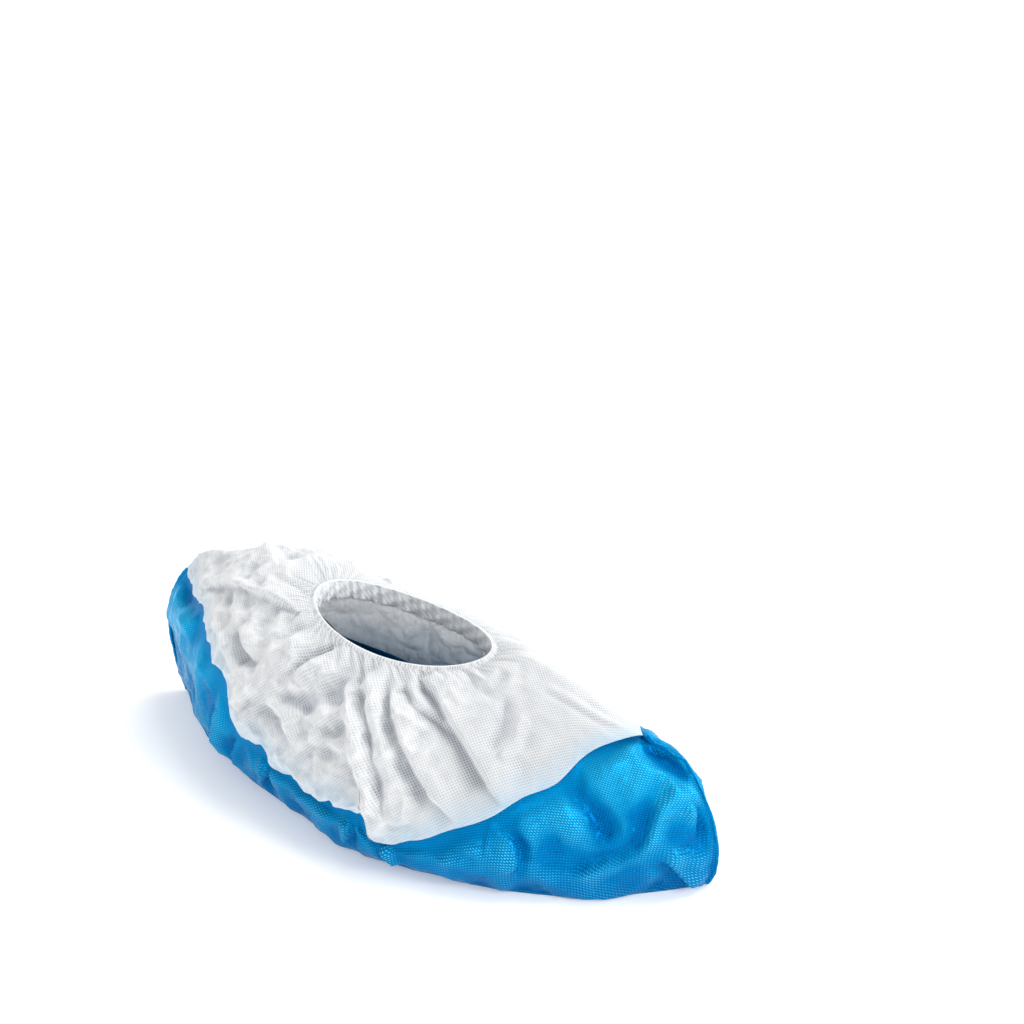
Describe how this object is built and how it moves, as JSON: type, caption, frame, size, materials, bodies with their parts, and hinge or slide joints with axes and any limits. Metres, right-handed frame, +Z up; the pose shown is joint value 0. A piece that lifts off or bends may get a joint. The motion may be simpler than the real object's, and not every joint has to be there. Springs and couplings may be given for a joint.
{
  "type": "disposable shoe cover",
  "caption": "Single-use shoe cover, empty and at rest: white nonwoven upper gathered to an elastic foot opening over an embossed blue film sole, pinched to a point at toe and heel.",
  "frame": {"origin": "on the surface that the sole rests on, under the middle of the cover's bounding box", "axes": "+X runs to the toe, +Y to the side away from the viewer when the toe points right, +Z is up"},
  "size_m": [0.3306, 0.148, 0.1008],
  "materials": {
    "film": "embossed blue film, half gloss",
    "nonwoven": "white spunbond nonwoven with a fine pattern of bond dots, matt",
    "hem": "white nonwoven folded over elastic, matt",
    "weld": "blue film welded flat"
  },
  "bodies": {
    "root": {"film_sole": "film", "upper": "nonwoven", "elastic_hem": "hem", "toe_seam": "weld", "heel_seam": "weld"}
  },
  "joints": []
}
